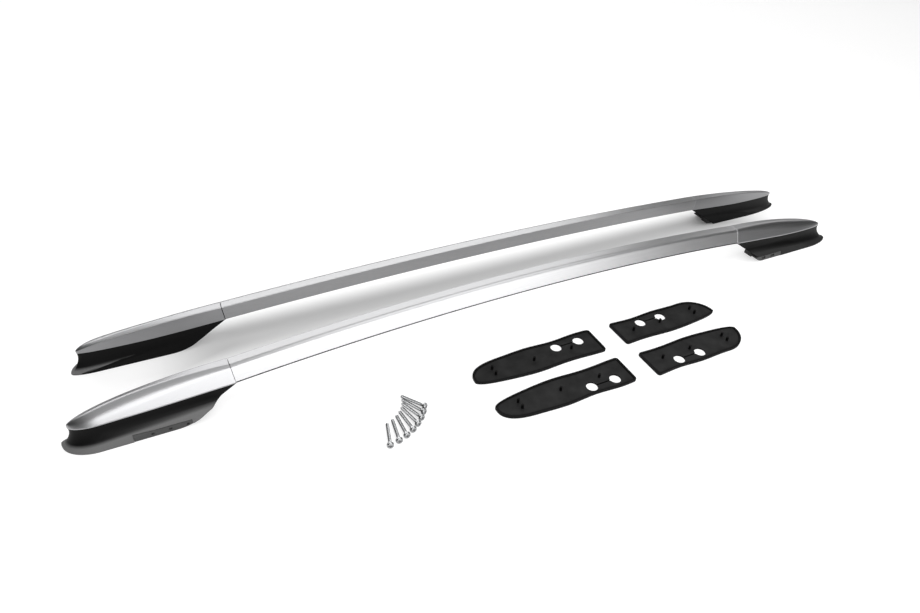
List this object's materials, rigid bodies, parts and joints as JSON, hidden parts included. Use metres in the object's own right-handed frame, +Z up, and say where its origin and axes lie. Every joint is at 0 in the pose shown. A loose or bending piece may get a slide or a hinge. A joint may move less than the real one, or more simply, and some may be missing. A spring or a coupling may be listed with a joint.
{
  "type": "roof side rail pair",
  "caption": "Arched roof side rails with silver end caps on flared black bases, laid out with their rubber foot pads and pan-head mounting bolts.",
  "frame": {"origin": "under the middle of the whole set, on the floor", "axes": "+X along the rails from front to rear, +Y from the loose pieces across both rails, +Z up"},
  "size_m": [1.8116, 0.4896, 0.1084],
  "materials": {
    "anodised_aluminium": "satin anodised",
    "silver_paint": "silver paint, satin",
    "black_plastic": "moulded, fine grain",
    "black_coated_casting": "cast, coated black",
    "black_rubber": "matt moulded rubber",
    "zinc_plated_steel": "bright zinc plate"
  },
  "bodies": {
    "root": {"front_left_pad": "black_rubber", "front_right_pad": "black_rubber", "left_bracket_screws": "zinc_plated_steel", "left_front_base": "black_plastic", "left_front_bracket": "black_coated_casting", "left_front_cap": "silver_paint", "left_rail": "anodised_aluminium", "left_rear_base": "black_plastic", "left_rear_bracket": "black_coated_casting", "left_rear_cap": "silver_paint", "mounting_bolts": "zinc_plated_steel", "rear_left_pad": "black_rubber", "rear_right_pad": "black_rubber", "right_bracket_screws": "zinc_plated_steel", "right_front_base": "black_plastic", "right_front_bracket": "black_coated_casting", "right_front_cap": "silver_paint", "right_rail": "anodised_aluminium", "right_rear_base": "black_plastic", "right_rear_bracket": "black_coated_casting", "right_rear_cap": "silver_paint"}
  },
  "joints": []
}
